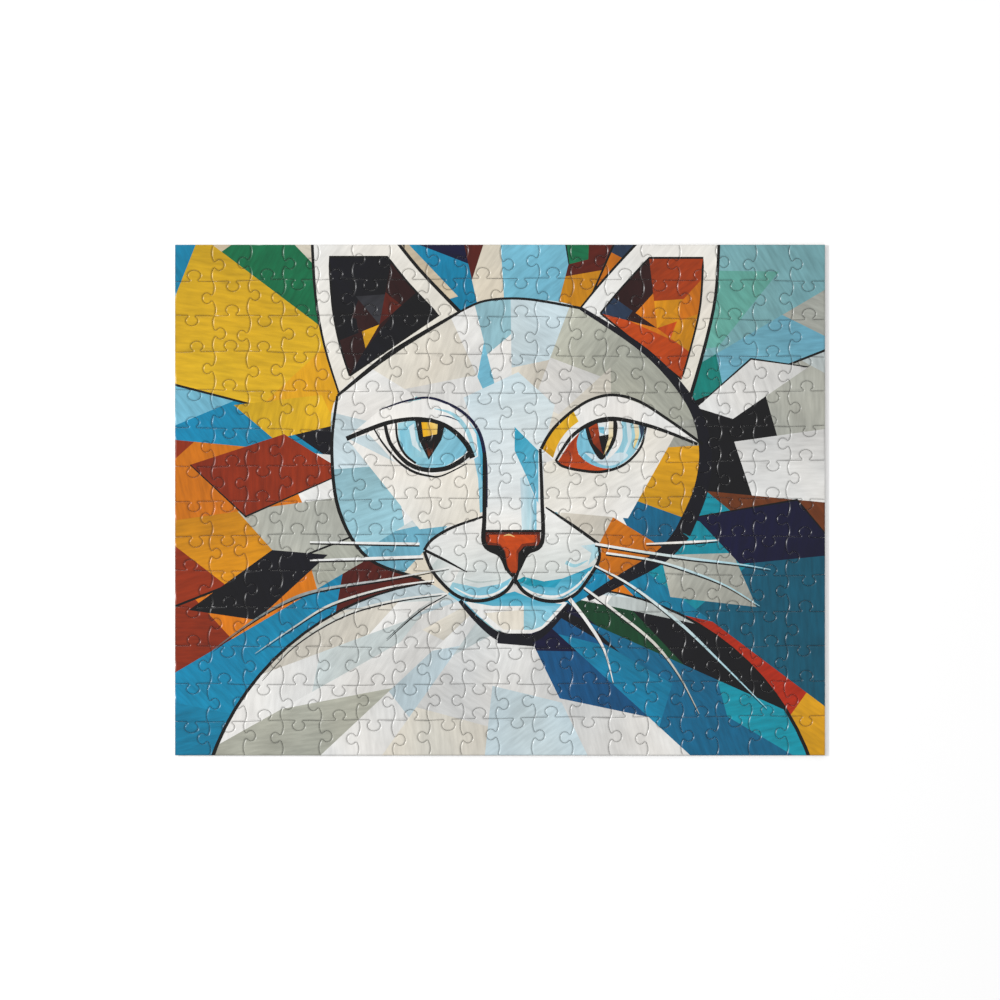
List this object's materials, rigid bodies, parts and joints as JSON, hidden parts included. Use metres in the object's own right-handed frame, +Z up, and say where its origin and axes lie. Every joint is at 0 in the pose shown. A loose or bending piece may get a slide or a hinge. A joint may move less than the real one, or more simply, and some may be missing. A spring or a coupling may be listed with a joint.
{
  "type": "jigsaw puzzle",
  "caption": "Assembled rectangular jigsaw puzzle of interlocking die-cut chipboard pieces with a printed picture; squares of its inside pieces lift straight out of the edge frame.",
  "frame": {"origin": "centre of the puzzle's underside", "axes": "+X to the right of the picture, along the long side; +Y to the top of the picture; +Z up out of the printed side"},
  "size_m": [0.3556, 0.2794, 0.002],
  "materials": {
    "printed_chipboard": "satin"
  },
  "bodies": {
    "edge_frame": {"corner_top_left": "printed_chipboard", "corner_top_right": "printed_chipboard", "corner_bottom_left": "printed_chipboard", "corner_bottom_right": "printed_chipboard", "edge_pieces_top": "printed_chipboard", "edge_pieces_bottom": "printed_chipboard", "edge_pieces_left": "printed_chipboard", "edge_pieces_right": "printed_chipboard"},
    "square_a1": {"middle_a1": "printed_chipboard"},
    "square_b1": {"middle_b1": "printed_chipboard"},
    "square_c1": {"middle_c1": "printed_chipboard"},
    "square_d1": {"middle_d1": "printed_chipboard"},
    "square_e1": {"middle_e1": "printed_chipboard"},
    "square_f1": {"middle_f1": "printed_chipboard"},
    "square_g1": {"middle_g1": "printed_chipboard"},
    "square_h1": {"middle_h1": "printed_chipboard"},
    "square_a2": {"middle_a2": "printed_chipboard"},
    "square_b2": {"middle_b2": "printed_chipboard"},
    "square_c2": {"middle_c2": "printed_chipboard"},
    "square_d2": {"middle_d2": "printed_chipboard"},
    "square_e2": {"middle_e2": "printed_chipboard"},
    "square_f2": {"middle_f2": "printed_chipboard"},
    "square_g2": {"middle_g2": "printed_chipboard"},
    "square_h2": {"middle_h2": "printed_chipboard"},
    "square_a3": {"middle_a3": "printed_chipboard"},
    "square_b3": {"middle_b3": "printed_chipboard"},
    "square_c3": {"middle_c3": "printed_chipboard"},
    "square_d3": {"middle_d3": "printed_chipboard"},
    "square_e3": {"middle_e3": "printed_chipboard"},
    "square_f3": {"middle_f3": "printed_chipboard"},
    "square_g3": {"middle_g3": "printed_chipboard"},
    "square_h3": {"middle_h3": "printed_chipboard"},
    "square_a4": {"middle_a4": "printed_chipboard"},
    "square_b4": {"middle_b4": "printed_chipboard"},
    "square_c4": {"middle_c4": "printed_chipboard"},
    "square_d4": {"middle_d4": "printed_chipboard"},
    "square_e4": {"middle_e4": "printed_chipboard"},
    "square_f4": {"middle_f4": "printed_chipboard"},
    "square_g4": {"middle_g4": "printed_chipboard"},
    "square_h4": {"middle_h4": "printed_chipboard"},
    "square_a5": {"middle_a5": "printed_chipboard"},
    "square_b5": {"middle_b5": "printed_chipboard"},
    "square_c5": {"middle_c5": "printed_chipboard"},
    "square_d5": {"middle_d5": "printed_chipboard"},
    "square_e5": {"middle_e5": "printed_chipboard"},
    "square_f5": {"middle_f5": "printed_chipboard"},
    "square_g5": {"middle_g5": "printed_chipboard"},
    "square_h5": {"middle_h5": "printed_chipboard"},
    "square_a6": {"middle_a6": "printed_chipboard"},
    "square_b6": {"middle_b6": "printed_chipboard"},
    "square_c6": {"middle_c6": "printed_chipboard"},
    "square_d6": {"middle_d6": "printed_chipboard"},
    "square_e6": {"middle_e6": "printed_chipboard"},
    "square_f6": {"middle_f6": "printed_chipboard"},
    "square_g6": {"middle_g6": "printed_chipboard"},
    "square_h6": {"middle_h6": "printed_chipboard"}
  },
  "joints": [
    {"name": "lift_a1", "type": "slide", "parent": "edge_frame", "child": "square_a1", "axis": [0, 0, 1], "range_m": [0, 0.025]},
    {"name": "lift_b1", "type": "slide", "parent": "edge_frame", "child": "square_b1", "axis": [0, 0, 1], "range_m": [0, 0.025]},
    {"name": "lift_c1", "type": "slide", "parent": "edge_frame", "child": "square_c1", "axis": [0, 0, 1], "range_m": [0, 0.025]},
    {"name": "lift_d1", "type": "slide", "parent": "edge_frame", "child": "square_d1", "axis": [0, 0, 1], "range_m": [0, 0.025]},
    {"name": "lift_e1", "type": "slide", "parent": "edge_frame", "child": "square_e1", "axis": [0, 0, 1], "range_m": [0, 0.025]},
    {"name": "lift_f1", "type": "slide", "parent": "edge_frame", "child": "square_f1", "axis": [0, 0, 1], "range_m": [0, 0.025]},
    {"name": "lift_g1", "type": "slide", "parent": "edge_frame", "child": "square_g1", "axis": [0, 0, 1], "range_m": [0, 0.025]},
    {"name": "lift_h1", "type": "slide", "parent": "edge_frame", "child": "square_h1", "axis": [0, 0, 1], "range_m": [0, 0.025]},
    {"name": "lift_a2", "type": "slide", "parent": "edge_frame", "child": "square_a2", "axis": [0, 0, 1], "range_m": [0, 0.025]},
    {"name": "lift_b2", "type": "slide", "parent": "edge_frame", "child": "square_b2", "axis": [0, 0, 1], "range_m": [0, 0.025]},
    {"name": "lift_c2", "type": "slide", "parent": "edge_frame", "child": "square_c2", "axis": [0, 0, 1], "range_m": [0, 0.025]},
    {"name": "lift_d2", "type": "slide", "parent": "edge_frame", "child": "square_d2", "axis": [0, 0, 1], "range_m": [0, 0.025]},
    {"name": "lift_e2", "type": "slide", "parent": "edge_frame", "child": "square_e2", "axis": [0, 0, 1], "range_m": [0, 0.025]},
    {"name": "lift_f2", "type": "slide", "parent": "edge_frame", "child": "square_f2", "axis": [0, 0, 1], "range_m": [0, 0.025]},
    {"name": "lift_g2", "type": "slide", "parent": "edge_frame", "child": "square_g2", "axis": [0, 0, 1], "range_m": [0, 0.025]},
    {"name": "lift_h2", "type": "slide", "parent": "edge_frame", "child": "square_h2", "axis": [0, 0, 1], "range_m": [0, 0.025]},
    {"name": "lift_a3", "type": "slide", "parent": "edge_frame", "child": "square_a3", "axis": [0, 0, 1], "range_m": [0, 0.025]},
    {"name": "lift_b3", "type": "slide", "parent": "edge_frame", "child": "square_b3", "axis": [0, 0, 1], "range_m": [0, 0.025]},
    {"name": "lift_c3", "type": "slide", "parent": "edge_frame", "child": "square_c3", "axis": [0, 0, 1], "range_m": [0, 0.025]},
    {"name": "lift_d3", "type": "slide", "parent": "edge_frame", "child": "square_d3", "axis": [0, 0, 1], "range_m": [0, 0.025]},
    {"name": "lift_e3", "type": "slide", "parent": "edge_frame", "child": "square_e3", "axis": [0, 0, 1], "range_m": [0, 0.025]},
    {"name": "lift_f3", "type": "slide", "parent": "edge_frame", "child": "square_f3", "axis": [0, 0, 1], "range_m": [0, 0.025]},
    {"name": "lift_g3", "type": "slide", "parent": "edge_frame", "child": "square_g3", "axis": [0, 0, 1], "range_m": [0, 0.025]},
    {"name": "lift_h3", "type": "slide", "parent": "edge_frame", "child": "square_h3", "axis": [0, 0, 1], "range_m": [0, 0.025]},
    {"name": "lift_a4", "type": "slide", "parent": "edge_frame", "child": "square_a4", "axis": [0, 0, 1], "range_m": [0, 0.025]},
    {"name": "lift_b4", "type": "slide", "parent": "edge_frame", "child": "square_b4", "axis": [0, 0, 1], "range_m": [0, 0.025]},
    {"name": "lift_c4", "type": "slide", "parent": "edge_frame", "child": "square_c4", "axis": [0, 0, 1], "range_m": [0, 0.025]},
    {"name": "lift_d4", "type": "slide", "parent": "edge_frame", "child": "square_d4", "axis": [0, 0, 1], "range_m": [0, 0.025]},
    {"name": "lift_e4", "type": "slide", "parent": "edge_frame", "child": "square_e4", "axis": [0, 0, 1], "range_m": [0, 0.025]},
    {"name": "lift_f4", "type": "slide", "parent": "edge_frame", "child": "square_f4", "axis": [0, 0, 1], "range_m": [0, 0.025]},
    {"name": "lift_g4", "type": "slide", "parent": "edge_frame", "child": "square_g4", "axis": [0, 0, 1], "range_m": [0, 0.025]},
    {"name": "lift_h4", "type": "slide", "parent": "edge_frame", "child": "square_h4", "axis": [0, 0, 1], "range_m": [0, 0.025]},
    {"name": "lift_a5", "type": "slide", "parent": "edge_frame", "child": "square_a5", "axis": [0, 0, 1], "range_m": [0, 0.025]},
    {"name": "lift_b5", "type": "slide", "parent": "edge_frame", "child": "square_b5", "axis": [0, 0, 1], "range_m": [0, 0.025]},
    {"name": "lift_c5", "type": "slide", "parent": "edge_frame", "child": "square_c5", "axis": [0, 0, 1], "range_m": [0, 0.025]},
    {"name": "lift_d5", "type": "slide", "parent": "edge_frame", "child": "square_d5", "axis": [0, 0, 1], "range_m": [0, 0.025]},
    {"name": "lift_e5", "type": "slide", "parent": "edge_frame", "child": "square_e5", "axis": [0, 0, 1], "range_m": [0, 0.025]},
    {"name": "lift_f5", "type": "slide", "parent": "edge_frame", "child": "square_f5", "axis": [0, 0, 1], "range_m": [0, 0.025]},
    {"name": "lift_g5", "type": "slide", "parent": "edge_frame", "child": "square_g5", "axis": [0, 0, 1], "range_m": [0, 0.025]},
    {"name": "lift_h5", "type": "slide", "parent": "edge_frame", "child": "square_h5", "axis": [0, 0, 1], "range_m": [0, 0.025]},
    {"name": "lift_a6", "type": "slide", "parent": "edge_frame", "child": "square_a6", "axis": [0, 0, 1], "range_m": [0, 0.025]},
    {"name": "lift_b6", "type": "slide", "parent": "edge_frame", "child": "square_b6", "axis": [0, 0, 1], "range_m": [0, 0.025]},
    {"name": "lift_c6", "type": "slide", "parent": "edge_frame", "child": "square_c6", "axis": [0, 0, 1], "range_m": [0, 0.025]},
    {"name": "lift_d6", "type": "slide", "parent": "edge_frame", "child": "square_d6", "axis": [0, 0, 1], "range_m": [0, 0.025]},
    {"name": "lift_e6", "type": "slide", "parent": "edge_frame", "child": "square_e6", "axis": [0, 0, 1], "range_m": [0, 0.025]},
    {"name": "lift_f6", "type": "slide", "parent": "edge_frame", "child": "square_f6", "axis": [0, 0, 1], "range_m": [0, 0.025]},
    {"name": "lift_g6", "type": "slide", "parent": "edge_frame", "child": "square_g6", "axis": [0, 0, 1], "range_m": [0, 0.025]},
    {"name": "lift_h6", "type": "slide", "parent": "edge_frame", "child": "square_h6", "axis": [0, 0, 1], "range_m": [0, 0.025]}
  ]
}
